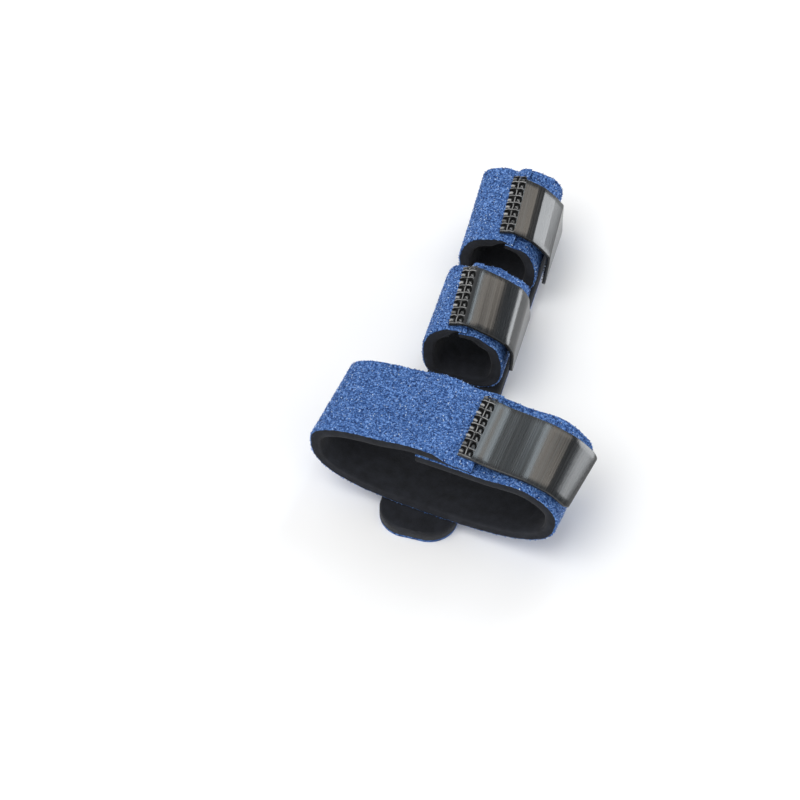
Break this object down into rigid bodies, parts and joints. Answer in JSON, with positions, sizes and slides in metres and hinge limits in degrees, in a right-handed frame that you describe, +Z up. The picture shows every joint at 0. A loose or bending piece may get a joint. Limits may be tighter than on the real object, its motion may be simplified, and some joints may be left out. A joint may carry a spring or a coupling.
{
  "type": "finger splint",
  "caption": "Padded cloth splint: a flat spine lies along finger and palm, and wrap-round straps closed by hook tabs hold it on.",
  "frame": {"origin": "middle of the bounding box at its base, on the surface that the spine lies on", "axes": "+X across the hand, towards the free ends of the hook tabs; +Y along the spine towards the fingertip; +Z up from the palm side to the back of the hand"},
  "size_m": [0.0876, 0.1422, 0.0378],
  "materials": {
    "loop_cloth": "matte brushed loop pile",
    "foam": "matte",
    "hook_tape": "satin, finely ribbed",
    "thread": "glossy filament"
  },
  "bodies": {
    "root": {"spine_cover": "loop_cloth", "spine_foam": "foam", "palm_strap_foam": "foam", "palm_strap_face": "loop_cloth", "palm_hook_tab": "hook_tape", "middle_strap_foam": "foam", "middle_strap_face": "loop_cloth", "middle_hook_tab": "hook_tape", "distal_strap_foam": "foam", "distal_strap_face": "loop_cloth", "distal_hook_tab": "hook_tape"}
  },
  "joints": []
}
